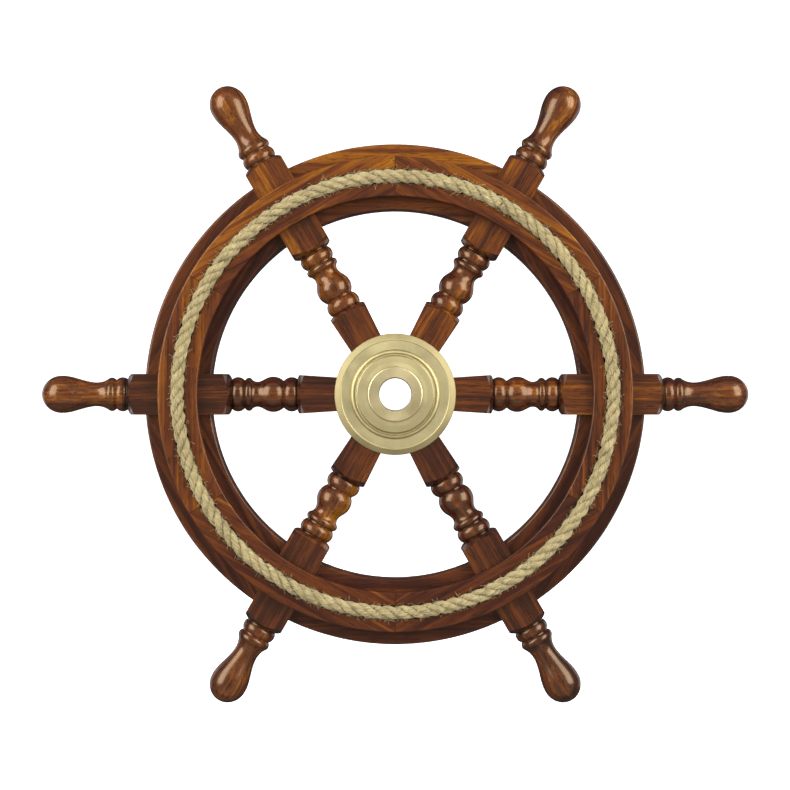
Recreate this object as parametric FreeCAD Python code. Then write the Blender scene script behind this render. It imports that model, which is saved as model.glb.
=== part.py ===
import FreeCAD, Part
import math
import os
from FreeCAD import Vector

# Ship's steering wheel. Millimetres. The wheel stands in the XZ plane and turns about Y.
# The origin is the wheel's centre, at the middle of the spokes' thickness, and the front is -Y.

# wheel
spoke_count = 6
spoke_step = 360.0 / spoke_count
half_step = spoke_step / 2
spoke_half = 17.5           # half the spoke's square section
tip_radius = 305.0          # centre of the wheel to the tip of a handle

# rim: a wide middle ring of felloes between a front ring and a rear ring
felloe_inner = 158.5
felloe_outer = 215.0
felloe_half = 11.0
ring_inner = 169.0
ring_outer = 203.0
ring_thickness = 14.0
ring_face = felloe_half + ring_thickness
rim_middle = (ring_inner + ring_outer) / 2
felloe_round = 2.0
ring_round = 1.5

# rope laid in the front ring
rope_radius = 6.0
rope_groove_radius = 6.2
rope_seam_angle = 61.0
rope_seam_gap = 0.5         # degrees left open where the two ends butt

# hub
plate_radius = 52.0
barrel_radius = 24.0
barrel_clearance = 0.1
rear_plate_thickness = 5.0
nave_outer = 44.0           # flat outer face of a nave block
hub_taper_start = 11.25     # half-width of a spoke, drawn back to the wheel's centre
hub_taper_slope = 0.065

# bush that the hub turns on, with its retaining collar
shaft_radius = 14.0
bush_radius = 18.0
running_clearance = 0.05
flange_radius = 23.4
flange_clearance = 0.3
end_play = 0.3
collar_radius = 25.0
collar_bore_clearance = 0.03
bush_rear = 31.0
bore_chamfer = 0.5

# fasteners
pilot_clearance = 0.1
ring_screw_radius = 1.9
ring_screw_head_radius = 3.6
ring_screw_head_height = 2.0
front_ring_screw_seat = 16.6
rear_ring_screw_seat = 19.0
front_ring_screw_offset = 18.0   # degrees either side of a spoke
rear_ring_screw_offset = 11.0
ring_screw_length = 20.0
plug_radius = 5.0
plug_clearance = 0.05
plug_inner_end = 21.5
dowel_radius = 4.0
dowel_reach = 12.0
dowel_end_gap = 0.3
dowel_clearance = 0.05
hub_bolt_circle = 36.0
hub_bolt_radius = 2.5
hub_bolt_tip = 22.0
plate_screw_circle = 42.0
plate_screw_radius = 2.2
plate_screw_tip = 3.0
countersink_depth = 2.4
countersink_spread = 2.2
set_screw_radius = 2.5
set_screw_y = 27.2

axis_y = Vector(0, 1, 0)
origin = Vector(0, 0, 0)


def turned(shape, degrees):
    """Copy of a shape, turned about the wheel's axis, anticlockwise seen from the front."""
    copy = shape.copy()
    copy.rotate(origin, Vector(0, -1, 0), degrees)
    return copy


def cylinder_y(radius, y_low, y_high, x=0.0, z=0.0):
    return Part.makeCylinder(radius, y_high - y_low, Vector(x, y_low, z), axis_y)


def prism_y(points, y_low, y_high):
    """Prism along Y over a closed outline of (x, z) points."""
    corners = [Vector(x, y_low, z) for x, z in points]
    face = Part.Face(Part.makePolygon(corners + [corners[0]]))
    return face.extrude(Vector(0, y_high - y_low, 0))


def spun(edges, axis):
    """Solid of revolution of a closed outline."""
    solid = Part.Face(Part.Wire(edges)).revolve(origin, axis, 360)
    if solid.Volume < 0:
        solid.reverse()
    return solid


def rounded_ring(inner, outer, y_low, y_high, rounding):
    """Flat ring about Y whose four edges are rounded over."""
    corners = [(inner, y_low), (outer, y_low), (outer, y_high), (inner, y_high)]
    inward = [(1, 1), (-1, 1), (-1, -1), (1, -1)]
    bend = rounding * (1 - math.sqrt(0.5))
    arcs = []
    for index, ((x, y), (dx, dy)) in enumerate(zip(corners, inward)):
        on_side = Vector(x, y + dy * rounding, 0)
        middle = Vector(x + dx * bend, y + dy * bend, 0)
        on_face = Vector(x + dx * rounding, y, 0)
        ends = (on_side, on_face) if index % 2 == 0 else (on_face, on_side)
        arcs.append((ends[0], middle, ends[1]))
    edges = []
    for index, (start, middle, end) in enumerate(arcs):
        edges.append(Part.Arc(start, middle, end).toShape())
        following = arcs[(index + 1) % len(arcs)][0]
        edges.append(Part.LineSegment(end, following).toShape())
    return spun(edges, axis_y)


def spoke_half_width(x):
    return hub_taper_start + hub_taper_slope * x


def polyline(points):
    corners = [Vector(x, y, 0) for x, y in points]
    return [Part.LineSegment(a, b).toShape() for a, b in zip(corners, corners[1:])]


def bead(start, crown, end):
    return Part.Arc(*[Vector(x, r, 0) for x, r in (start, crown, end)]).toShape()


def elliptic(crown, side, centre):
    """Quarter of an ellipse, from the end of its long axis to the end of its short one."""
    shape = Part.Ellipse(*[Vector(x, r, 0) for x, r in (crown, side, centre)])
    return Part.ArcOfEllipse(shape, 0, math.pi / 2).toShape()


def smooth(points):
    """Smooth curve through points."""
    curve = Part.BSplineCurve()
    curve.interpolate(Points=[Vector(x, r, 0) for x, r in points])
    return curve.toShape()


def pommel(neck_x, neck_radius, direction):
    """Rounded shoulder of a square block, from its turned neck to past its corners."""
    rise = [(0.6, 15.0), (1.4, 16.3), (2.9, 17.9), (4.8, 21.0), (6.8, 25.2)]
    points = [(neck_x, neck_radius)] + [(neck_x + direction * run, radius) for run, radius in rise]
    return smooth(points), points[-1]


def spoke_outline():
    """Turned outline of a spoke along X: hub block, vase, beads, rim block and handle."""
    inner_end = 20.0
    inner_radius = 25.2
    swell = (288.0, 16.15)
    hub_shoulder, hub_block_end = pommel(84.4, 13.2, -1)
    near_shoulder, rim_block_start = pommel(141.0, 13.0, 1)
    far_shoulder, rim_block_end = pommel(230.6, 13.4, -1)
    edges = []
    edges += polyline([(inner_end, 0), (inner_end, inner_radius), hub_block_end])
    edges.append(hub_shoulder)
    edges.append(bead((84.4, 13.2), (89.2, 14.9), (95.8, 11.9)))
    edges += polyline([(95.8, 11.9), (96.6, 11.9)])
    edges.append(smooth([(96.6, 11.9), (100.0, 14.2), (105.2, 15.3), (110.6, 14.2), (114.4, 12.2),
                         (118.8, 10.85), (121.8, 11.5), (124.0, 13.5)]))
    edges.append(bead((124.0, 13.5), (126.2, 14.35), (128.6, 13.5)))
    edges += polyline([(128.6, 13.5), (129.4, 12.4), (130.2, 12.4)])
    edges.append(bead((130.2, 12.4), (135.2, 14.9), (140.6, 13.0)))
    edges += polyline([(140.6, 13.0), (141.0, 13.0)])
    edges.append(near_shoulder)
    edges += polyline([rim_block_start, rim_block_end])
    edges.append(far_shoulder)
    edges += polyline([(230.6, 13.4), (231.2, 13.4)])
    edges.append(bead((231.2, 13.4), (235.0, 14.8), (240.2, 12.7)))
    edges += polyline([(240.2, 12.7), (241.0, 12.7)])
    edges.append(bead((241.0, 12.7), (244.2, 14.5), (246.8, 13.9)))
    edges.append(smooth([(246.8, 13.9), (250.4, 11.8), (257.0, 10.35), (265.0, 11.25), (272.0, 13.1),
                         (279.0, 15.1), (284.5, 16.02), swell]))
    edges.append(elliptic((tip_radius, 0), swell, (swell[0], 0)))
    edges += polyline([(tip_radius, 0), (inner_end, 0)])
    return edges


def spoke_block():
    """Square stock that the spoke is turned from, tapered and mitred towards the hub."""
    mitre = math.tan(math.radians(half_step))
    inner_end = 20.0
    mitre_end = hub_taper_start / (mitre - hub_taper_slope)
    taper_end = (spoke_half - hub_taper_start) / hub_taper_slope
    side = [(inner_end, inner_end * mitre), (mitre_end, mitre_end * mitre),
            (taper_end, spoke_half), (tip_radius + 1, spoke_half)]
    outline = side + [(x, -z) for x, z in reversed(side)]
    return prism_y(outline, -spoke_half, spoke_half)


def dowels(clearance, end_gap):
    """The two dowels through one spoke's sides into the felloes, or their holes."""
    shapes = []
    reach = dowel_reach + end_gap
    for side in (1, -1):
        start = Vector(rim_middle, 0, side * (spoke_half - reach))
        shapes.append(Part.makeCylinder(dowel_radius + clearance, 2 * reach, start, Vector(0, 0, side)))
    return shapes


def countersunk(radius, face_y, tip_y, x, clearance):
    """Countersunk screw along Y with its head level with face_y, or its hole."""
    r = radius + clearance
    head = radius + countersink_spread + clearance
    points = [(0, face_y), (head, face_y), (r, face_y - countersink_depth), (r, tip_y), (0, tip_y)]
    screw = spun(polyline(points + points[:1]), axis_y)
    screw.translate(Vector(x, 0, 0))
    return screw


def slotted(screw, radius, face_y, x):
    """Screw with a driver slot across its head."""
    width = 0.9
    depth = 1.1
    length = 2 * (radius + countersink_spread) + 1
    slot = Part.makeBox(length, depth, width, Vector(x - length / 2, face_y - depth, -width / 2))
    return screw.cut(slot)


def pan_screw(seat, tip, outward, clearance, head_room):
    """Flat-seated wood screw along Y at the middle of the rim, or its hole."""
    head_end = seat + outward * (ring_screw_head_height + head_room)
    low, high = sorted((seat, head_end))
    head = cylinder_y(ring_screw_head_radius + clearance, low, high, rim_middle)
    low, high = sorted((seat, tip))
    shank = cylinder_y(ring_screw_radius + clearance, low, high, rim_middle)
    return head.fuse(shank).removeSplitter()


def ring_angles(offset):
    return [k * spoke_step + side * offset for k in range(spoke_count) for side in (-1, 1)]


def build_spoke():
    spoke = spun(spoke_outline(), Vector(1, 0, 0)).common(spoke_block())
    spoke = spoke.cut(cylinder_y(barrel_radius + barrel_clearance, -30, 30))
    spoke = spoke.cut(dowels(dowel_clearance, dowel_end_gap))
    rear = spoke_half + rear_plate_thickness
    return spoke.cut(countersunk(plate_screw_radius, rear, plate_screw_tip, plate_screw_circle, pilot_clearance))


def build_felloes():
    ring = rounded_ring(felloe_inner, felloe_outer, -felloe_half, felloe_half, felloe_round)
    gate = Part.makeBox(80, 60, 2 * spoke_half, Vector(rim_middle - 40, -30, -spoke_half))
    cutters = [turned(gate, k * spoke_step) for k in range(spoke_count)]
    for k in range(spoke_count):
        cutters += [turned(hole, k * spoke_step) for hole in dowels(dowel_clearance, dowel_end_gap)]
    cutters += front_ring_screws(pilot_clearance, 0)
    cutters += rear_ring_screws(pilot_clearance, 0)
    pieces = ring.cut(cutters).Solids

    def angle(piece):
        centre = piece.CenterOfMass
        return math.degrees(math.atan2(centre.z, centre.x)) % 360
    return sorted(pieces, key=angle)


def sector(k):
    """Wedge as wide as one ring segment, centred on a spoke."""
    reach = ring_outer * 2
    half = math.radians(half_step)
    points = [(0, 0), (reach * math.cos(half), -reach * math.sin(half)),
              (reach * math.cos(half), reach * math.sin(half))]
    return turned(prism_y(points, -40, 40), k * spoke_step)


def ring_segments(outward, cutters):
    """Six segments of a face ring, each notched over its spoke and butted midway to the next."""
    low, high = sorted((outward * felloe_half, outward * ring_face))
    ring = rounded_ring(ring_inner, ring_outer, low, high, ring_round)
    notch = Part.makeBox(80, 2 * spoke_half, 2 * spoke_half, Vector(rim_middle - 40, -spoke_half, -spoke_half))
    ring = ring.cut([turned(notch, k * spoke_step) for k in range(spoke_count)] + cutters)
    return [ring.common(sector(k)) for k in range(spoke_count)]


def rope_torus(radius, gap):
    """Rope's round section carried round the front ring, open by a gap in degrees."""
    torus = Part.makeTorus(rim_middle, radius, origin, axis_y, 0, 360, 360 - gap)
    torus.translate(Vector(0, -ring_face, 0))
    return torus


def build_rope():
    rope = rope_torus(rope_radius, rope_seam_gap)
    middle = rope.CenterOfMass
    open_side = math.degrees(math.atan2(-middle.z, -middle.x))
    return turned(rope, rope_seam_angle - open_side)


def front_ring_screws(clearance, head_room):
    tip = -front_ring_screw_seat + ring_screw_length
    screw = pan_screw(-front_ring_screw_seat, tip, -1, clearance, head_room)
    return [turned(screw, a) for a in ring_angles(front_ring_screw_offset)]


def rear_ring_screws(clearance, head_room):
    tip = rear_ring_screw_seat - ring_screw_length
    screw = pan_screw(rear_ring_screw_seat, tip, 1, clearance, head_room)
    return [turned(screw, a) for a in ring_angles(rear_ring_screw_offset)]


def plugs(clearance, inner_end):
    plug = cylinder_y(plug_radius + clearance, inner_end, ring_face, rim_middle)
    return [turned(plug, a) for a in ring_angles(rear_ring_screw_offset)]


def build_nave_block():
    """Wedge that fills the hub between two spokes, bored for a hub bolt, pointing along X."""
    half = math.radians(half_step)
    spread = math.cos(half) + hub_taper_slope * math.sin(half)
    rise = math.sin(half) - hub_taper_slope * math.cos(half)
    inner = hub_taper_start / rise
    outer_half = (nave_outer * rise - hub_taper_start) / spread
    block = prism_y([(inner, 0), (nave_outer, -outer_half), (nave_outer, outer_half)], -spoke_half, spoke_half)
    return block.cut(cylinder_y(hub_bolt_radius + pilot_clearance, -30, 30, hub_bolt_circle))


def build_front_plate():
    """Stepped brass plate, turned in one with the barrel that runs back through the hub."""
    bore = bush_radius + running_clearance
    rear_end = -(spoke_half + rear_plate_thickness)
    recess = flange_radius + flange_clearance

    def line(*points):
        return polyline([(r, -spoke_half - height) for r, height in points])

    def curve(*points):
        return bead(*[(r, -spoke_half - height) for r, height in points])
    edges = line((bore, 8.2), (recess, 8.2), (recess, 9.2), (32.3, 8.2), (33.1, 7.6), (33.5, 6.0))
    edges.append(curve((33.5, 6.0), (34.3, 5.7), (35.1, 6.2)))
    edges += line((35.1, 6.2), (35.5, 6.7))
    edges.append(curve((35.5, 6.7), (37.3, 6.1), (38.3, 4.5)))
    edges += line((38.3, 4.5), (46.0, 4.1), (46.5, 4.5), (47.1, 4.5), (51.4, 1.4))
    edges.append(curve((51.4, 1.4), (51.83, 0.95), (plate_radius, 0.4)))
    edges += line((plate_radius, 0.4), (plate_radius, 0), (barrel_radius, 0))
    edges += polyline([(barrel_radius, -spoke_half), (barrel_radius, -rear_end), (bore, -rear_end),
                       (bore, -spoke_half - 8.2)])
    plate = spun(edges, axis_y)
    hole = cylinder_y(hub_bolt_radius + pilot_clearance, -hub_bolt_tip - 0.2, 0, hub_bolt_circle)
    return plate.cut([turned(hole, half_step + k * spoke_step) for k in range(spoke_count)])


def build_rear_plate():
    face = spoke_half + rear_plate_thickness
    edge_round = 2.0
    bend = edge_round * (1 - math.sqrt(0.5))
    bore = barrel_radius + barrel_clearance
    edges = polyline([(bore, spoke_half), (plate_radius, spoke_half), (plate_radius, face - edge_round)])
    edges.append(bead((plate_radius, face - edge_round), (plate_radius - bend, face - bend),
                      (plate_radius - edge_round, face)))
    edges += polyline([(plate_radius - edge_round, face), (bore, face), (bore, spoke_half)])
    plate = spun(edges, axis_y)
    bolt = countersunk(hub_bolt_radius, face, 0, hub_bolt_circle, pilot_clearance)
    screw = countersunk(plate_screw_radius, face, 0, plate_screw_circle, pilot_clearance)
    holes = [turned(bolt, half_step + k * spoke_step) for k in range(spoke_count)]
    holes += [turned(screw, k * spoke_step) for k in range(spoke_count)]
    return plate.cut(holes)


def build_hub_bolts():
    face = spoke_half + rear_plate_thickness
    bolt = countersunk(hub_bolt_radius, face, -hub_bolt_tip, hub_bolt_circle, 0)
    bolt = slotted(bolt, hub_bolt_radius, face, hub_bolt_circle)
    return [turned(bolt, half_step + k * spoke_step) for k in range(spoke_count)]


def build_plate_screws():
    face = spoke_half + rear_plate_thickness
    screw = countersunk(plate_screw_radius, face, plate_screw_tip, plate_screw_circle, 0)
    screw = slotted(screw, plate_screw_radius, face, plate_screw_circle)
    return [turned(screw, k * spoke_step) for k in range(spoke_count)]


def set_screw(clearance, inner_end, outer_end):
    start = Vector(0, set_screw_y, inner_end)
    return Part.makeCylinder(set_screw_radius + clearance, outer_end - inner_end, start, Vector(0, 0, 1))


def build_bush():
    """Flanged bush that the hub turns on. It stays still on the shaft."""
    front = -spoke_half - 11.0
    flange_back = -spoke_half - 8.2 - end_play
    edge = 0.9
    points = [(shaft_radius, front + bore_chamfer), (shaft_radius + bore_chamfer, front),
              (flange_radius - edge, front), (flange_radius - 0.2 * edge, front + 0.4 * edge),
              (flange_radius, front + edge), (flange_radius, flange_back),
              (bush_radius, flange_back), (bush_radius, bush_rear),
              (shaft_radius + bore_chamfer, bush_rear), (shaft_radius, bush_rear - bore_chamfer)]
    bush = spun(polyline(points + points[:1]), axis_y)
    return bush.cut(set_screw(pilot_clearance, 0, collar_radius + 5))


def build_collar():
    front = spoke_half + rear_plate_thickness + end_play
    bore = bush_radius + collar_bore_clearance
    edge = 0.8
    points = [(bore, front), (collar_radius - edge, front), (collar_radius, front + edge),
              (collar_radius, bush_rear - edge), (collar_radius - edge, bush_rear), (bore, bush_rear)]
    collar = spun(polyline(points + points[:1]), axis_y)
    return collar.cut(set_screw(pilot_clearance, 0, collar_radius + 5))


def build_set_screw():
    tip_gap = 0.4
    sunk = 0.6
    screw = set_screw(0, shaft_radius + tip_gap, collar_radius - sunk)
    socket_flats = 2.5
    socket_depth = 2.5
    corner = socket_flats / math.sqrt(3)
    corners = []
    for k in range(7):
        turn = math.radians(60 * k)
        corners.append(Vector(corner * math.cos(turn), set_screw_y + corner * math.sin(turn),
                              collar_radius - sunk - socket_depth))
    socket = Part.Face(Part.makePolygon(corners)).extrude(Vector(0, 0, socket_depth + 1))
    return screw.cut(socket)


def save(node, shape):
    solids = shape if isinstance(shape, list) else shape.Solids
    for solid in solids:
        if not solid.isValid():
            print("not valid:", node)
    whole = solids[0] if len(solids) == 1 else Part.makeCompound(solids)
    whole.exportStep("parts/" + node + ".step")
    print(node, len(solids), round(whole.Volume))


def main():
    os.makedirs("parts", exist_ok=True)
    spoke = build_spoke()
    nave_block = build_nave_block()
    felloes = build_felloes()
    front_cutters = [rope_torus(rope_groove_radius, 0)] + front_ring_screws(pilot_clearance, 6)
    front_segments = ring_segments(-1, front_cutters)
    rear_cutters = plugs(plug_clearance, rear_ring_screw_seat) + rear_ring_screws(pilot_clearance, 0)
    rear_segments = ring_segments(1, rear_cutters)
    for k in range(spoke_count):
        number = str(k + 1)
        save("spoke_" + number, turned(spoke, k * spoke_step))
        save("nave_block_" + number, turned(nave_block, half_step + k * spoke_step))
        save("felloe_" + number, felloes[k])
        save("front_ring_segment_" + number, front_segments[k])
        save("rear_ring_segment_" + number, rear_segments[k])
    save("rope_inlay", build_rope())
    save("front_ring_screws", front_ring_screws(0, 0))
    save("rear_ring_screws", rear_ring_screws(0, 0))
    save("rear_ring_plugs", plugs(0, plug_inner_end))
    dowel_pairs = [turned(pin, k * spoke_step) for k in range(spoke_count) for pin in dowels(0, 0)]
    save("felloe_dowels", dowel_pairs)
    save("hub_front_plate", build_front_plate())
    save("hub_rear_plate", build_rear_plate())
    save("hub_bolts", build_hub_bolts())
    save("rear_plate_screws", build_plate_screws())
    save("centre_bush", build_bush())
    save("retaining_collar", build_collar())
    save("collar_set_screw", build_set_screw())


main()
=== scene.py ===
import math
import random

import bmesh
import bpy
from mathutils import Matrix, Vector, noise


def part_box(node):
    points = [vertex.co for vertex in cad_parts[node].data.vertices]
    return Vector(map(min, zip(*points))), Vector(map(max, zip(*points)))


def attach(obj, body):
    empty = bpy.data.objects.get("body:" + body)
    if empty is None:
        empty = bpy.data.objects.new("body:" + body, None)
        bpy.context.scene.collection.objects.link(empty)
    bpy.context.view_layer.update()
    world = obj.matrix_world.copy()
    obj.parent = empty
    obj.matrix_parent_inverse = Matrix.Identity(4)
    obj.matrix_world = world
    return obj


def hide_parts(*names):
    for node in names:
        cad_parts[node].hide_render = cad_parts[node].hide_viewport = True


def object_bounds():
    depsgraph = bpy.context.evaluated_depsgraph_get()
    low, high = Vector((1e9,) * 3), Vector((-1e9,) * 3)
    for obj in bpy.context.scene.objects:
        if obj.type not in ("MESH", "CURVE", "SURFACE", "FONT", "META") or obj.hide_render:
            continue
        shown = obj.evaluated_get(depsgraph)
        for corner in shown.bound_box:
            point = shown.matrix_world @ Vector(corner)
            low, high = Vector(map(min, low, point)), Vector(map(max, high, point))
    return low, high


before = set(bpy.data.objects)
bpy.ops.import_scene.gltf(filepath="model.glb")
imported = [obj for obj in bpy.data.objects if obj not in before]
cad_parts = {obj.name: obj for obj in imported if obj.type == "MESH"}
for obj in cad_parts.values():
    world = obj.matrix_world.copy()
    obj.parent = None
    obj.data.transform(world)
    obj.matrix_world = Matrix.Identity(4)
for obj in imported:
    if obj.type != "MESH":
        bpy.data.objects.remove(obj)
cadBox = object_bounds()
print("frame loaded:", len(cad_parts), "nodes")

# The wheel stands in the XZ plane, its front is -Y, and spoke k points 60 * (k - 1) degrees up from +X.
spokeCount = 6
spokeStep = 360 / spokeCount
rimMiddle = 0.187       # metres from the axis to the middle of the rim


def addNode(tree, kind, spot, settings=None, inputs=None):
    node = tree.nodes.new(kind)
    node.location = spot
    for name, value in (settings or {}).items():
        setattr(node, name, value)
    for name, value in (inputs or {}).items():
        node.inputs[name].default_value = value
    return node


def feed(tree, socket, value):
    # a number, vector or colour is set on the socket, and another node's output is linked to it
    if isinstance(value, bpy.types.NodeSocket):
        tree.links.new(value, socket)
    elif value is not None:
        socket.default_value = (*value, 1) if socket.type == "RGBA" else value


def mathNode(tree, spot, operation, first, second=None, clamp=False):
    node = addNode(tree, "ShaderNodeMath", spot, {"operation": operation, "use_clamp": clamp})
    feed(tree, node.inputs[0], first)
    feed(tree, node.inputs[1], second)
    return node.outputs[0]


def vectorNode(tree, spot, operation, first, second=None):
    node = addNode(tree, "ShaderNodeVectorMath", spot, {"operation": operation})
    feed(tree, node.inputs[0], first)
    feed(tree, node.inputs[1], second)
    return node.outputs["Value" if operation == "LENGTH" else "Vector"]


def splitNode(tree, spot, vector):
    node = addNode(tree, "ShaderNodeSeparateXYZ", spot)
    tree.links.new(vector, node.inputs["Vector"])
    return node.outputs


def rampNode(tree, spot, source, stops, interpolation="LINEAR"):
    node = addNode(tree, "ShaderNodeValToRGB", spot)
    ramp = node.color_ramp
    ramp.interpolation = interpolation
    for i in (0, -1):
        position, colour = stops[i]
        ramp.elements[i].position = position
        ramp.elements[i].color = (*colour, 1)
    for position, colour in stops[1:-1]:
        ramp.elements.new(position).color = (*colour, 1)
    tree.links.new(source, node.inputs["Fac"])
    return node.outputs["Color"]


def grey(level):
    return (level, level, level)


def mixColour(tree, spot, amount, first, second):
    node = addNode(tree, "ShaderNodeMix", spot, {"data_type": "RGBA"})
    for i, value in ((0, amount), (6, first), (7, second)):     # the amount and the two colours
        feed(tree, node.inputs[i], value)
    return node.outputs[2]


def noiseNode(tree, spot, vector, scale, detail=2.0, roughness=0.5, dimensions="3D"):
    node = addNode(tree, "ShaderNodeTexNoise", spot, {"noise_dimensions": dimensions},
                   {"Scale": scale, "Detail": detail, "Roughness": roughness})
    tree.links.new(vector, node.inputs["W" if dimensions == "1D" else "Vector"])
    return node.outputs["Fac"]


def bumpNode(tree, spot, height, strength, distance):
    node = addNode(tree, "ShaderNodeBump", spot, None, {"Strength": strength, "Distance": distance})
    tree.links.new(height, node.inputs["Height"])
    return node.outputs["Normal"]


def objectPlace(tree, spot):
    return addNode(tree, "ShaderNodeTexCoord", spot).outputs["Object"]


def axisDistance(tree, spot, place):
    # how far a point stands from the wheel's axis
    flat = vectorNode(tree, (spot[0] - 160, spot[1]), "MULTIPLY", place, (1, 0, 1))
    return vectorNode(tree, spot, "LENGTH", flat)


def freshMaterial(name, settings):
    material = bpy.data.materials.new(name)
    material.use_nodes = True
    shader = material.node_tree.nodes["Principled BSDF"]
    for key, value in settings.items():
        shader.inputs[key].default_value = value
    return material, material.node_tree, shader


def paint(node, material):
    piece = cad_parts[node]
    piece.data.materials.clear()
    piece.data.materials.append(material)


# Lacquered rosewood. Grain runs along X in the figure's own space, with the tree's heart beside the piece.
# stretch: how a layer is drawn out along the grain; share: how far it moves the tone
rosewood = {
    "darkStreak": (0.014, 0.003, 0.003),
    "brown": (0.042, 0.0096, 0.0062),
    "redBrown": (0.120, 0.030, 0.0065),
    "golden": (0.345, 0.122, 0.004),
    "poreAndShade": (0.008, 0.003, 0.002),
    "wander": {"scale": 24, "detail": 2.5, "roughness": 0.55, "stretch": 0.1, "sway": 0.034},
    "rings": {"scale": 120, "detail": 3.5, "roughness": 0.62, "share": 1.3},
    "zones": {"scale": 14, "detail": 1.5, "roughness": 0.5, "stretch": 0.1, "share": 1.0},
    "fibres": {"scale": 380, "detail": 4, "roughness": 0.68, "stretch": 0.02, "share": 1.3},
    "mottle": {"scale": 70, "detail": 3, "roughness": 0.6, "stretch": 0.35, "share": 0.7},
    "pores": {"scale": 1500, "detail": 1, "roughness": 0.4, "stretch": 0.07},
    "poreLimit": 0.37,
    "poreDark": 0.65,
    "poreDip": 0.5,
    "reliefStrength": 0.12,
    "reliefDistance": 0.0004,
    "glueWidth": 0.00035,
    "glueDark": 0.75,
    "lacquer": {"Roughness": 0.35, "IOR": 1.45, "Specular IOR Level": 0.43,
                "Specular Tint": (1.0, 0.68, 0.40, 1.0),
                "Coat Weight": 0.45, "Coat Roughness": 0.13, "Coat IOR": 1.32},
    "lathePolish": {"Roughness": 0.25, "IOR": 1.45, "Specular IOR Level": 0.80,
                    "Specular Tint": (1.0, 0.64, 0.32, 1.0),
                    "Coat Weight": 0.45, "Coat Roughness": 0.09, "Coat IOR": 1.33},
}


def grainLayer(tree, spot, vector, look):
    drawn = vectorNode(tree, (spot[0] - 400, spot[1]), "MULTIPLY", vector, (look["stretch"], 1, 1))
    return noiseNode(tree, spot, drawn, look["scale"], look["detail"], look["roughness"])


def growthRings(tree, vector):
    # rings round the heart, which wander along the board
    wander, look = rosewood["wander"], rosewood["rings"]
    longGrain = vectorNode(tree, (-1200, 300), "MULTIPLY", vector, (wander["stretch"], 1, 1))
    drift = addNode(tree, "ShaderNodeTexNoise", (-1000, 300), None,
                    {"Scale": wander["scale"], "Detail": wander["detail"], "Roughness": wander["roughness"]})
    tree.links.new(longGrain, drift.inputs["Vector"])
    centred = vectorNode(tree, (-820, 300), "SUBTRACT", drift.outputs["Color"], (0.5, 0.5, 0.5))
    sway = vectorNode(tree, (-660, 300), "MULTIPLY", centred, (0, wander["sway"], wander["sway"]))
    warped = vectorNode(tree, (-500, 300), "ADD", longGrain, sway)
    across = vectorNode(tree, (-340, 300), "MULTIPLY", warped, (0, 1, 1))
    heartDistance = vectorNode(tree, (-180, 300), "LENGTH", across)
    return noiseNode(tree, (0, 300), heartDistance, look["scale"], look["detail"], look["roughness"], "1D")


def rosewoodFigure():
    tree = bpy.data.node_groups.new("rosewoodFigure", "ShaderNodeTree")
    for name, way, kind in (("Vector", "INPUT", "Vector"), ("Tone", "INPUT", "Float"),
                            ("Contrast", "INPUT", "Float"), ("Colour", "OUTPUT", "Color"),
                            ("Height", "OUTPUT", "Float")):
        tree.interface.new_socket(name, in_out=way, socket_type="NodeSocket" + kind)
    start = addNode(tree, "NodeGroupInput", (-1400, 0))
    end = addNode(tree, "NodeGroupOutput", (900, 0))
    vector = start.outputs["Vector"]

    layers = {"rings": growthRings(tree, vector)}
    for row, name in enumerate(("zones", "fibres", "mottle")):
        layers[name] = grainLayer(tree, (0, 100 - 200 * row), vector, rosewood[name])
    poreNoise = grainLayer(tree, (0, -500), vector, rosewood["pores"])
    pores = mathNode(tree, (180, -500), "LESS_THAN", poreNoise, rosewood["poreLimit"])

    tone = None
    for row, (name, layer) in enumerate(layers.items()):
        centred = mathNode(tree, (160, 300 - 200 * row), "SUBTRACT", layer, 0.5)
        part = mathNode(tree, (240, 300 - 200 * row), "MULTIPLY", centred, rosewood[name]["share"])
        tone = part if tone is None else mathNode(tree, (340, 300 - 200 * row), "ADD", tone, part)
    tone = mathNode(tree, (440, 0), "MULTIPLY", tone, start.outputs["Contrast"])
    tone = mathNode(tree, (520, 0), "ADD", tone, start.outputs["Tone"], clamp=True)
    colour = rampNode(tree, (600, 200), tone, [
        (0.04, rosewood["darkStreak"]), (0.32, rosewood["brown"]),
        (0.60, rosewood["redBrown"]), (0.95, rosewood["golden"])])
    poreAmount = mathNode(tree, (600, -200), "MULTIPLY", pores, rosewood["poreDark"])
    colour = mixColour(tree, (760, 100), poreAmount, colour, rosewood["poreAndShade"])
    dip = mathNode(tree, (600, -400), "MULTIPLY", pores, rosewood["poreDip"])
    height = mathNode(tree, (760, -200), "SUBTRACT", layers["fibres"], dip)
    tree.links.new(colour, end.inputs["Colour"])
    tree.links.new(height, end.inputs["Height"])
    return tree


woodFigure = rosewoodFigure()


def turnedSpace(tree, spot, place, angle, shift=(0, 0, 0)):
    node = addNode(tree, "ShaderNodeMapping", spot, {"vector_type": "POINT"},
                   {"Rotation": (0, math.radians(angle), 0), "Location": shift})
    tree.links.new(place, node.inputs["Vector"])
    return node.outputs["Vector"]


def startWood(name, finish, grainAngle, heart, tone, contrast):
    material, tree, shader = freshMaterial(name, rosewood[finish])
    place = objectPlace(tree, (-1400, 0))
    grain = turnedSpace(tree, (-1200, 0), place, grainAngle, heart)
    figure = addNode(tree, "ShaderNodeGroup", (-900, 0), {"node_tree": woodFigure},
                     {"Tone": tone, "Contrast": contrast})
    tree.links.new(grain, figure.inputs["Vector"])
    tree.links.new(figure.outputs["Colour"], shader.inputs["Base Color"])
    normal = bumpNode(tree, (-200, -200), figure.outputs["Height"],
                      rosewood["reliefStrength"], rosewood["reliefDistance"])
    tree.links.new(normal, shader.inputs["Normal"])
    return {"material": material, "tree": tree, "shader": shader, "place": place, "grain": grain,
            "figure": figure, "colour": figure.outputs["Colour"]}


# mixes the colour towards the dark pore colour, for glue lines and for painted shade in the turned grooves
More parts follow.
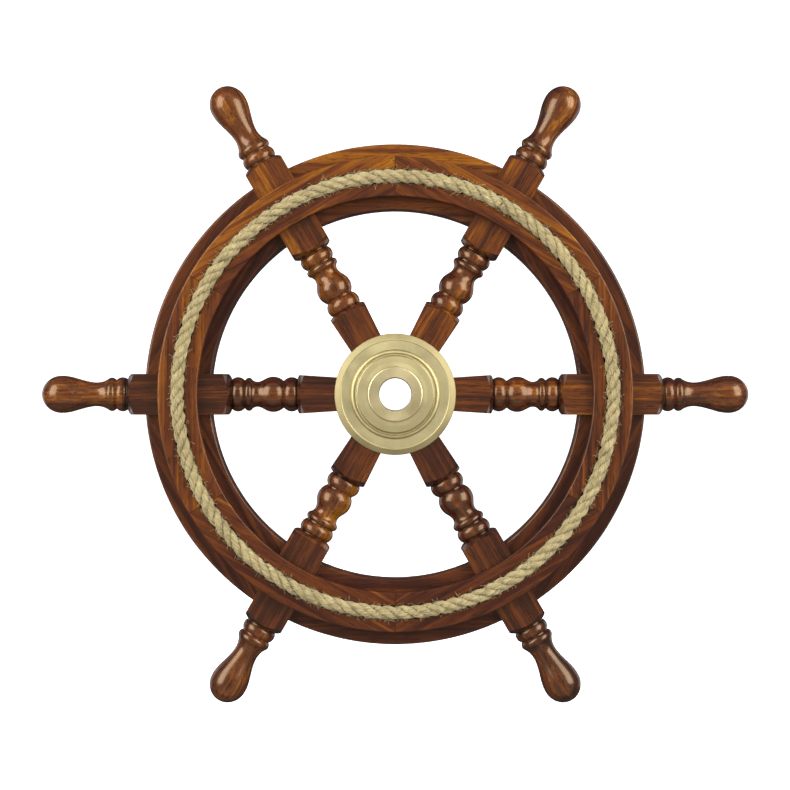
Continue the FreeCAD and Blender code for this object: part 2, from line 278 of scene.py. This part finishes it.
def darken(wood, spot, amount):
    wood["colour"] = mixColour(wood["tree"], spot, amount, wood["colour"], rosewood["poreAndShade"])
    wood["tree"].links.new(wood["colour"], wood["shader"].inputs["Base Color"])


def leanTone(wood, tone, lean):
    # the board gets paler, or darker, towards the rim's outside
    tree = wood["tree"]
    distance = axisDistance(tree, (-1040, 300), wood["place"])
    fromMiddle = mathNode(tree, (-880, 300), "SUBTRACT", distance, rimMiddle)
    change = mathNode(tree, (-700, 300), "MULTIPLY", fromMiddle, lean)
    tree.links.new(mathNode(tree, (-540, 300), "ADD", change, tone), wood["figure"].inputs["Tone"])


def stainSpokeAndShadeGrooves(wood, start, tones):
    # the stain took unevenly along the spoke, and painted shade darkens its turned grooves
    tree = wood["tree"]
    along = mathNode(tree, (-880, 300), "SUBTRACT", splitNode(tree, (-1040, 300), wood["grain"])["X"], start)
    levels = [(length, grey(tone)) for length, tone in zip(spokeLook["lengths"], tones)]
    tree.links.new(rampNode(tree, (-700, 400), along, levels, "CONSTANT"), wood["figure"].inputs["Tone"])
    half = spokeLook["grooveHalf"]
    stops = [(shadedGroove + side * half, grey(1 - abs(side)))
             for shadedGroove in spokeLook["grooves"] for side in (-1, 0, 1)]
    # painted shade in each turned groove, darkest at its middle
    grooveShade = rampNode(tree, (-700, 200), along, stops)
    darken(wood, (-280, 200), mathNode(tree, (-420, 300), "MULTIPLY", grooveShade, spokeLook["grooveShadeDepth"]))


def glueEnds(wood, middle, halfSpan):
    # a dark line along the board's two end planes, which pass through the wheel's axis
    tree = wood["tree"]
    parts = splitNode(tree, (-1000, -400), turnedSpace(tree, (-1200, -400), wood["place"], middle))
    aside = mathNode(tree, (-840, -400), "ABSOLUTE", parts["Z"])
    slope = math.radians(halfSpan)
    along = mathNode(tree, (-680, -350), "MULTIPLY", parts["X"], math.sin(slope))
    out = mathNode(tree, (-680, -450), "MULTIPLY", aside, math.cos(slope))
    inset = mathNode(tree, (-520, -400), "SUBTRACT", along, out)
    glue = mathNode(tree, (-360, -400), "LESS_THAN", inset, rosewood["glueWidth"])
    darken(wood, (-200, 0), mathNode(tree, (-280, -300), "MULTIPLY", glue, rosewood["glueDark"]))


# tone: how golden a piece is; heart: where its own space starts and where the tree's heart lies, in metres;
# lengths: where each tone starts, for the hub square, vase, rim square inside and outside, and handle
spokeLook = {
    "contrast": 0.8,
    "lengths": [0.0, 0.0844, 0.141, rimMiddle, 0.2306],
    # grooves: where painted shade darkens the turned grooves
    "grooves": [0.0842, 0.0962, 0.1240, 0.1296, 0.1408, 0.2309, 0.2407, 0.2470],
    "grooveHalf": 0.0019,
    "grooveShadeDepth": 0.75,
    "boards": [
        {"heart": (0.30, 0.020, 0.030), "tones": (0.48, 0.63, 0.58, 0.54, 0.50)},
        {"heart": (0.70, -0.015, 0.024), "tones": (0.44, 0.39, 0.35, 0.31, 0.37)},
        {"heart": (1.10, 0.030, -0.012), "tones": (0.40, 0.57, 0.44, 0.60, 0.63)},
        {"heart": (1.50, 0.012, 0.034), "tones": (0.25, 0.33, 0.28, 0.27, 0.52)},
        {"heart": (1.90, -0.026, -0.018), "tones": (0.32, 0.58, 0.36, 0.35, 0.38)},
        {"heart": (2.30, 0.008, 0.013), "tones": (0.28, 0.27, 0.30, 0.32, 0.33)},
    ],
}

# lean: how much paler a board gets per metre towards the rim's outside
rimLook = {
    "felloe_": {
        "contrast": 0.55, "heart": (2.1, 0.08, -0.140),
        "tones": [0.42, 0.62, 0.32, 0.36, 0.40, 0.33], "lean": [-1.3, 7.0, 4.9, 0.0, -0.8, -0.8]},
    "front_ring_segment_": {
        "contrast": 0.56, "heart": (5.7, -0.07, -0.150),
        "tones": [0.51, 0.61, 0.63, 0.52, 0.49, 0.47], "lean": [4.0, 3.5, 8.5, 3.5, 1.7, 1.5]},
    "rear_ring_segment_": {
        "contrast": 0.7, "heart": (5.4, 0.06, -0.120),
        "tones": [0.50, 0.46, 0.54, 0.42, 0.48, 0.52], "lean": [0.0] * spokeCount},
}

rimSpread = {"along": 0.4, "across": 0.013, "away": 0.02}      # how far apart the boards lay in the tree
plugLook = {"grainAngle": 20, "heart": (0.2, 0.05, 0.04), "tone": 0.35, "contrast": 0.8}


def boardHeart(look, k):
    start, across, away = look["heart"]
    return (start + rimSpread["along"] * k,
            across + rimSpread["across"] * math.sin(2.1 * k),
            away + rimSpread["away"] * math.cos(1.7 * k))


for k, board in enumerate(spokeLook["boards"]):
    number = str(k + 1)
    angle = k * spokeStep
    spokeWood = startWood("spokeWood" + number, "lathePolish", angle, board["heart"],
                          board["tones"][0], spokeLook["contrast"])
    stainSpokeAndShadeGrooves(spokeWood, board["heart"][0], board["tones"])
    paint("spoke_" + number, spokeWood["material"])
    paint("nave_block_" + number, spokeWood["material"])
    for stem, look in rimLook.items():
        isFelloe = stem == "felloe_"        # a felloe lies between two spokes, a ring segment over one
        middle = angle + spokeStep / 2 if isFelloe else angle
        wood = startWood(stem + "wood" + number, "lacquer", middle + 90, boardHeart(look, k),
                         look["tones"][k], look["contrast"])
        if look["lean"][k]:
            leanTone(wood, look["tones"][k], look["lean"][k])
        if not isFelloe:
            glueEnds(wood, middle, spokeStep / 2)
        paint(stem + number, wood["material"])
plugWood = startWood("plugWood", "lacquer", **plugLook)
paint("rear_ring_plugs", plugWood["material"])
print("wood done")


# Brass turned on a lathe, with painted shade on a band round the boss and a rougher bevel at the plate's rim
turnedBrass = {
    "finish": {"Metallic": 1.0, "Anisotropic": 0.25},
    "lineScale": 5200,
    "lineShare": 0.35,
    "lineStrength": 0.25,
    "lineDepth": 0.00012,
    "cloudScale": 45,
    "cloudRougher": 0.22,
    "shadedBand": (0.0236, 0.0335),
    "bandShadeShare": 0.7,
    "bevelStart": 0.0466,
    "bevelRougher": 0.18,
}
brassLots = {
    "hubBrass": {"colour": (0.60, 0.515, 0.275), "tarnishAndShade": (0.46, 0.39, 0.20), "roughness": 0.5,
                 "nodes": ["hub_front_plate", "hub_rear_plate"]},
    "bushBrass": {"colour": (0.69, 0.59, 0.33), "tarnishAndShade": (0.55, 0.45, 0.24), "roughness": 0.46,
                  "nodes": ["centre_bush", "retaining_collar"]},
    "screwBrass": {"colour": (0.62, 0.48, 0.24), "tarnishAndShade": (0.4, 0.28, 0.12), "roughness": 0.3,
                   "nodes": ["hub_bolts", "rear_plate_screws"]},
}


def brassMaterial(name, colour, tarnishAndShade, roughness):
    material, tree, shader = freshMaterial(name, turnedBrass["finish"])
    place = objectPlace(tree, (-1400, 0))
    radius = axisDistance(tree, (-1040, 0), place)
    lines = noiseNode(tree, (-800, 100), radius, turnedBrass["lineScale"], 2, 0.6, "1D")
    cloud = noiseNode(tree, (-800, -100), place, turnedBrass["cloudScale"], 3, 0.55)
    shade = rampNode(tree, (-500, -100), cloud, [(0.3, tarnishAndShade), (0.62, colour)])
    streak = mathNode(tree, (-600, 100), "MULTIPLY", lines, turnedBrass["lineShare"])
    shade = mixColour(tree, (-300, 0), streak, shade, tarnishAndShade)
    # painted shade: a band round the boss is mixed towards the tarnish colour
    shadedStart, shadedEnd = turnedBrass["shadedBand"]
    bandShade = rampNode(tree, (-500, 400), radius, [
        (0.0, grey(0)), (shadedStart, grey(turnedBrass["bandShadeShare"])), (shadedEnd, grey(0))], "CONSTANT")
    shade = mixColour(tree, (-150, 0), bandShade, shade, tarnishAndShade)
    tree.links.new(shade, shader.inputs["Base Color"])

    centred = mathNode(tree, (-600, -300), "SUBTRACT", cloud, 0.5)
    rough = mathNode(tree, (-500, -300), "MULTIPLY", centred, turnedBrass["cloudRougher"])
    bevel = mathNode(tree, (-600, -450), "GREATER_THAN", radius, turnedBrass["bevelStart"])
    bevel = mathNode(tree, (-460, -450), "MULTIPLY", bevel, turnedBrass["bevelRougher"])
    rough = mathNode(tree, (-400, -350), "ADD", rough, bevel)
    tree.links.new(mathNode(tree, (-340, -300), "ADD", rough, roughness), shader.inputs["Roughness"])
    normal = bumpNode(tree, (-300, -200), lines, turnedBrass["lineStrength"], turnedBrass["lineDepth"])
    tree.links.new(normal, shader.inputs["Normal"])
    tangent = addNode(tree, "ShaderNodeTangent", (-300, -400), {"direction_type": "RADIAL", "axis": "Y"})
    tree.links.new(tangent.outputs["Tangent"], shader.inputs["Tangent"])
    return material


for name, lot in brassLots.items():
    brass = brassMaterial(name, lot["colour"], lot["tarnishAndShade"], lot["roughness"])
    for node in lot["nodes"]:
        paint(node, brass)


# Steel screws and beech dowels, all but hidden inside the wheel
hiddenLots = {
    "screwSteel": {"finish": {"Metallic": 1.0, "Roughness": 0.35}, "scale": 400,
                   "dark": (0.3, 0.3, 0.31), "pale": (0.5, 0.5, 0.51),
                   "nodes": ["front_ring_screws", "rear_ring_screws", "collar_set_screw"]},
    "dowelBeech": {"finish": {"Roughness": 0.7}, "scale": 900,
                   "dark": (0.42, 0.26, 0.13), "pale": (0.6, 0.42, 0.24),
                   "nodes": ["felloe_dowels"]},
}


def fleckedMaterial(name, finish, scale, dark, pale):
    material, tree, shader = freshMaterial(name, finish)
    fleck = noiseNode(tree, (-700, 0), objectPlace(tree, (-900, 0)), scale, 3)
    shade = rampNode(tree, (-400, 0), fleck, [(0.3, dark), (0.7, pale)])
    tree.links.new(shade, shader.inputs["Base Color"])
    return material


for name, lot in hiddenLots.items():
    flecked = fleckedMaterial(name, lot["finish"], lot["scale"], lot["dark"], lot["pale"])
    for node in lot["nodes"]:
        paint(node, flecked)
print("metals done")


# Three-strand jute rope, laid right-handed round the front ring, with its ends butted
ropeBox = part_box("rope_inlay")
ropeRadius = (ropeBox[1].y - ropeBox[0].y) / 2
rope = {
    "ringRadius": (ropeBox[1].x - ropeBox[0].x) / 2 - ropeRadius,
    "depth": (ropeBox[1].y + ropeBox[0].y) / 2,
    "strands": 3,
    "strandRadius": ropeRadius * 0.515,
    "strandOffset": ropeRadius * 0.475,
    "turns": 35,
    "stepsPerTurn": 28,
    "yarns": 9,
    "pointsPerYarn": 4,
    "yarnHeight": 0.09,         # against the strand's radius
    "yarnTwist": -58.0,         # radians for each radian round the ring
    "seamAngle": 61.0,          # degrees up from +X
    "seamHalfGap": 0.22,        # degrees
    # how unevenly the strands lie: how far, how often round the ring, and where each reads the noise
    "slip": {"size": 0.05, "rate": 55, "apart": 4.7, "row": 3.5},
    "wobble": {"size": 0.12, "rate": 90, "apart": 7.3, "row": 0.5},
    "swell": {"size": 0.14, "rate": 160, "apart": 3.1, "row": 9.5},
    "thickness": 0.96,
    # loose yarn: its height in metres, tufts round and along a strand, and broader ones under them
    "fray": 0.0007,
    "tuftsRound": 2,
    "tuftsAlong": 5,
    "broadTufts": 1.7,
    "broadShare": 0.6,
    "tallest": 0.5,
}


def ropePoint(angle, phase, offset):
    out = rope["ringRadius"] + offset * math.cos(phase)
    return Vector((out * math.cos(angle), rope["depth"] + offset * math.sin(phase), out * math.sin(angle)))


def linkNew(name, data):
    thing = bpy.data.objects.new(name, data)
    bpy.context.scene.collection.objects.link(thing)
    return thing


def yarnProfile():
    profile = bpy.data.curves.new("yarnProfile", "CURVE")
    spline = profile.splines.new("POLY")
    count = rope["yarns"] * rope["pointsPerYarn"]
    spline.points.add(count - 1)
    for i, point in enumerate(spline.points):
        turn = 2 * math.pi * i / count
        lobe = 1 - rope["yarnHeight"] * (1 - abs(math.sin(rope["yarns"] * turn / 2)))
        radius = rope["strandRadius"] * lobe
        point.co = (radius * math.cos(turn), radius * math.sin(turn), 0, 1)
    spline.use_cyclic_u = True
    return linkNew("yarnProfile", profile)


def meshFromCurve(curveObject, name):
    bpy.context.view_layer.update()
    graph = bpy.context.evaluated_depsgraph_get()
    mesh = bpy.data.meshes.new_from_object(curveObject.evaluated_get(graph))
    mesh.name = name
    bpy.data.objects.remove(curveObject)
    return linkNew(name, mesh)


def uneven(look, share, index):
    return look["size"] * noise.noise(Vector((share * look["rate"], index * look["apart"], look["row"])))


def makeStrand(index, profileObject):
    curve = bpy.data.curves.new("strandPath", "CURVE")
    curve.dimensions = "3D"
    curve.bevel_mode = "OBJECT"
    curve.bevel_object = profileObject
    curve.use_fill_caps = True
    spline = curve.splines.new("POLY")
    steps = rope["turns"] * rope["stepsPerTurn"]
    spline.points.add(steps)
    start = math.radians(rope["seamAngle"] + rope["seamHalfGap"])
    sweep = math.radians(360 - 2 * rope["seamHalfGap"])
    for i, point in enumerate(spline.points):
        share = i / steps
        turns = rope["turns"] * share + index / rope["strands"] + uneven(rope["slip"], share, index)
        offset = rope["strandOffset"] * (1 + uneven(rope["wobble"], share, index))
        point.co = (*ropePoint(start + sweep * share, 2 * math.pi * turns, offset), 1)
        point.radius = rope["thickness"] + uneven(rope["swell"], share, index)
        point.tilt = rope["yarnTwist"] * sweep * share
    return meshFromCurve(linkNew("strandPath", curve), "rope_strand_" + str(index + 1))


def layYarns(strand):
    # marks where each point lies round and along its strand, and roughens the surface there
    count = rope["yarns"] * rope["pointsPerYarn"]
    points = strand.data.vertices
    lay = strand.data.attributes.new("lay", "FLOAT_VECTOR", "POINT")
    middle = Vector()
    # the first two rows close the strand's far and near ends, so they move as the rows they close
    closes = {0: len(points) // count - 1, 1: 2}
    for i, point in enumerate(points):
        if i % count == 0:
            ring = points[i:i + count]
            middle = sum((corner.co for corner in ring), Vector()) / count
        row = closes.get(i // count, i // count)
        turn = 2 * math.pi * (i % count) / count
        spot = Vector((math.cos(turn), math.sin(turn), row / rope["stepsPerTurn"]))
        lay.data[i].vector = spot
        fine = Vector((spot.x * rope["tuftsRound"], spot.y * rope["tuftsRound"], spot.z * rope["tuftsAlong"]))
        tuft = noise.noise(fine) + rope["broadShare"] * noise.noise(spot * rope["broadTufts"])
        point.co += (point.co - middle).normalized() * rope["fray"] * min(tuft, rope["tallest"])


# Jute: pale and straw in clouds, with broken dark flecks, and painted shade in the grooves between the
# strands
jute = {
    "finish": {"Roughness": 0.9, "Sheen Weight": 0.25, "Sheen Roughness": 0.6, "Specular IOR Level": 0.25},
    "pale": (0.535, 0.435, 0.205),
    "straw": (0.40, 0.315, 0.14),
    "shadow": (0.13, 0.09, 0.035),
    "cloudScale": 90,
    "fuzzScale": 2.6,
    "fuzzAlong": 3.5,
    "reliefStrength": 1.0,
    "reliefDistance": 0.0008,
    # each begins where its value falls below the limit, and the slope is how quickly it fills in
    "fleck": {"limit": 0.53, "slope": 5.0},
    "shadedGroove": {"limit": 0.82, "slope": 3.0},
    "broken": {"limit": 0.62, "slope": 3.2},
}


def belowLimit(tree, spot, value, look):
    short = mathNode(tree, (spot[0] - 80, spot[1]), "SUBTRACT", look["limit"], value)
    return mathNode(tree, spot, "MULTIPLY", short, look["slope"], clamp=True)


def ropeStand(tree, place):
    # how far the surface stands from the rope's own centre line, one at its outside
    out = axisDistance(tree, (-1040, -500), place)
    aside = mathNode(tree, (-880, -500), "SUBTRACT", out, rope["ringRadius"])
    back = splitNode(tree, (-1200, -700), place)["Y"]
    deep = mathNode(tree, (-880, -700), "SUBTRACT", back, rope["depth"])
    squares = mathNode(tree, (-700, -600), "ADD", mathNode(tree, (-780, -500), "MULTIPLY", aside, aside),
                       mathNode(tree, (-780, -700), "MULTIPLY", deep, deep))
    return mathNode(tree, (-540, -600), "DIVIDE", mathNode(tree, (-620, -600), "SQRT", squares), ropeRadius)


def juteMaterial(name, laid):
    material, tree, shader = freshMaterial(name, jute["finish"])
    place = objectPlace(tree, (-1400, 0))
    cloud = noiseNode(tree, (-900, 200), place, jute["cloudScale"], 3, 0.6)
    shade = rampNode(tree, (-600, 200), cloud, [(0.32, jute["straw"]), (0.6, jute["pale"])])
    if laid:
        lay = addNode(tree, "ShaderNodeAttribute", (-1400, -300), {"attribute_name": "lay"}).outputs["Vector"]
        fuzzSpace = vectorNode(tree, (-1200, -300), "MULTIPLY", lay, (1, 1, jute["fuzzAlong"]))
        fuzz = noiseNode(tree, (-1000, -300), fuzzSpace, jute["fuzzScale"], 4, 0.8)
        # painted shade: darker where the surface lies deep between the strands, broken up by the fuzz
        shadedGroove = belowLimit(tree, (-400, -600), ropeStand(tree, place), jute["shadedGroove"])
        broken = belowLimit(tree, (-700, -300), fuzz, jute["broken"])
        shadedGroove = mathNode(tree, (-300, -500), "MULTIPLY", shadedGroove, broken)
        fleck = belowLimit(tree, (-700, -100), fuzz, jute["fleck"])
        dark = mathNode(tree, (-500, -200), "ADD", fleck, shadedGroove, clamp=True)
        shade = mixColour(tree, (-300, 0), dark, shade, jute["shadow"])
        normal = bumpNode(tree, (-300, -200), fuzz, jute["reliefStrength"], jute["reliefDistance"])
        tree.links.new(normal, shader.inputs["Normal"])
    tree.links.new(shade, shader.inputs["Base Color"])
    return material


juteLook = juteMaterial("jute", True)
profileObject = yarnProfile()
strands = [makeStrand(i, profileObject) for i in range(rope["strands"])]
bpy.data.objects.remove(profileObject)
for strand in strands:
    strand.data.materials.clear()
    strand.data.materials.append(juteLook)
    for polygon in strand.data.polygons:
        polygon.use_smooth = True
    layYarns(strand)
    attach(strand, "wheel")
    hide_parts("rope_inlay")
    print(strand.name, "laid:", len(strand.data.vertices), "points")


# Stray jute fibres that stand off the rope and lie over the wood. Lengths are in metres and pairs are ranges.
fibre = {
    "count": 5200,
    "points": 5,
    "radius": 0.00008,
    "length": (0.003, 0.0095),
    "trim": (0.4, 1),
    "phase": (190, 350),        # degrees round the rope, over its front
    "rootShare": 0.93,
    "lie": (0.5, 1),
    "lift": (0.05, 0.7),
    "sideways": (-0.8, 0.9),
    "bend": 0.28,
    "backward": 0.35,
    "clearance": 0.00025,
    "seed": 7,
}


def makeFibres():
    rng = random.Random(fibre["seed"])
    curve = bpy.data.curves.new("fibrePaths", "CURVE")
    curve.dimensions = "3D"
    curve.bevel_depth = fibre["radius"]
    curve.bevel_resolution = 0
    curve.use_fill_caps = True
    faceLevel = rope["depth"] - fibre["clearance"]      # the rope's centre lies level with the ring's face
    for _ in range(fibre["count"]):
        angle = rng.uniform(0, 2 * math.pi)
        phase = math.radians(rng.uniform(*fibre["phase"]))
        length = rng.uniform(*fibre["length"]) * rng.uniform(*fibre["trim"])
        spot = ropePoint(angle, phase, ropeRadius * fibre["rootShare"])
        outward = (spot - ropePoint(angle, 0, 0)).normalized()
        tangent = Vector((-math.sin(angle), 0, math.cos(angle)))
        sideways = outward.cross(tangent)
        heading = tangent * (rng.choice((-1, 1)) * rng.uniform(*fibre["lie"]))
        heading += outward * rng.uniform(*fibre["lift"])
        heading += sideways * rng.uniform(*fibre["sideways"])
        heading.normalize()
        spline = curve.splines.new("POLY")
        spline.points.add(fibre["points"] - 1)
        for point in spline.points:
            point.co = (*spot, 1)
            bend = Vector((rng.gauss(0, 1), rng.gauss(0, 1) + fibre["backward"], rng.gauss(0, 1)))
            heading = (heading + bend * fibre["bend"]).normalized()
            spot = spot + heading * length / fibre["points"]
            spot.y = min(spot.y, faceLevel)
    return meshFromCurve(linkNew("fibrePaths", curve), "rope_fibres")


fibres = makeFibres()
fibres.data.materials.clear()
fibres.data.materials.append(juteMaterial("juteFibre", False))
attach(fibres, "wheel")
print("fibres done:", len(fibres.data.polygons), "faces")


# A round pale sweep. Its floor lies below the circle that the handles sweep as the wheel turns.
stage = {
    "floorZ": cadBox[0].x - 0.015,
    "floorRadius": 2.6,
    "bend": 0.6,
    "bendSteps": 12,
    "height": 3.0,
    "steps": 64,
    "paper": {"Base Color": (0.85, 0.85, 0.85, 1), "Roughness": 0.9,
              "Emission Color": (1, 1, 1, 1), "Emission Strength": 0.8},
}


def makeSweep():
    floorRadius, bend = stage["floorRadius"], stage["bend"]
    outline = [(0, 0), (floorRadius, 0)]
    for i in range(stage["bendSteps"]):
        turn = math.radians(90 * (i + 1) / stage["bendSteps"])
        outline.append((floorRadius + bend * math.sin(turn), bend * (1 - math.cos(turn))))
    outline.append((floorRadius + bend, stage["height"]))
    shape = bmesh.new()
    row = [shape.verts.new((x, 0, stage["floorZ"] + z)) for x, z in outline]
    edges = [shape.edges.new(pair) for pair in zip(row, row[1:])]
    bmesh.ops.spin(shape, geom=row + edges, cent=(0, 0, 0), axis=(0, 0, 1), angle=2 * math.pi,
                   steps=stage["steps"], use_merge=True)
    bmesh.ops.remove_doubles(shape, verts=shape.verts, dist=0.0001)
    bmesh.ops.recalc_face_normals(shape, faces=shape.faces)
    mesh = bpy.data.meshes.new("sweep")
    shape.to_mesh(mesh)
    shape.free()
    for polygon in mesh.polygons:
        polygon.use_smooth = True
    mesh.materials.append(freshMaterial("sweepPaper", stage["paper"])[0])
    sweep = linkNew("sweep", mesh)
    sweep.visible_diffuse = False       # the paper stays out of the lacquer, so the wood keeps dark edges
    sweep.visible_glossy = False


makeSweep()


# Soft boxes aimed at the hub: place and size in metres, power in watts
softBoxes = {
    "softBoxLeft": {"place": (-1.35, -1.0, 0.6), "size": (1.1, 1.6), "power": 36},
    "softBoxRight": {"place": (1.35, -1.0, 0.6), "size": (1.1, 1.6), "power": 36},
    "softBoxBack": {"place": (0, 2.2, 0.9), "size": (1.2, 1.2), "power": 40, "gloss": False},
    "softBoxBackLeft": {"place": (-1.6, 1.5, 0.1), "size": (1.2, 1.6), "power": 4},
    "softBoxBackRight": {"place": (1.6, 1.5, 0.1), "size": (1.2, 1.6), "power": 4},
}

hub = Vector((0, 0, 0))
for name, box in softBoxes.items():
    light = bpy.data.lights.new(name, "AREA")
    light.shape = "RECTANGLE"
    light.size, light.size_y = box["size"]
    light.energy = box["power"]
    lamp = linkNew(name, light)
    lamp.location = box["place"]
    lamp.rotation_euler = (hub - lamp.location).to_track_quat("-Z", "Y").to_euler()
    lamp.visible_glossy = box.get("gloss", True)


# The room seen in the brass and the lacquer, from straight ahead of the wheel to straight behind it
room = [(0.0, 0.36), (0.03, 0.42), (0.09, 0.70), (0.25, 0.66), (0.42, 0.22), (0.78, 0.13), (0.9, 0.05)]
world = bpy.data.worlds.new("studio")
world.use_nodes = True
sky = world.node_tree
direction = addNode(sky, "ShaderNodeTexCoord", (-900, 0)).outputs["Generated"]
halfDepth = mathNode(sky, (-500, 0), "MULTIPLY", splitNode(sky, (-700, 0), direction)["Y"], 0.5)
depthShare = mathNode(sky, (-400, 0), "ADD", halfDepth, 0.5)
glow = rampNode(sky, (-300, 0), depthShare, [(share, grey(level)) for share, level in room])
sky.links.new(glow, sky.nodes["Background"].inputs["Color"])
sky.nodes["Background"].inputs["Strength"].default_value = 1
bpy.context.scene.world = world

# Level with the hub, in metres but for the sensor; viewWidth is how much it sees across at the hub
camera = {"distance": 1.8, "aside": -0.0002, "rise": -0.0006, "viewWidth": 0.6826, "sensor": 36,
          "farthest": 50}
cameraData = bpy.data.cameras.new("camera")
cameraData.sensor_width = camera["sensor"]
cameraData.lens = camera["sensor"] * camera["distance"] / camera["viewWidth"]
cameraData.clip_end = camera["farthest"]
cameraObject = linkNew("camera", cameraData)
cameraObject.location = (camera["aside"], -camera["distance"], camera["rise"])
cameraObject.rotation_euler = (math.radians(90), 0, 0)
bpy.context.scene.camera = cameraObject
bpy.context.scene.view_settings.view_transform = "Standard"
print("stage done")
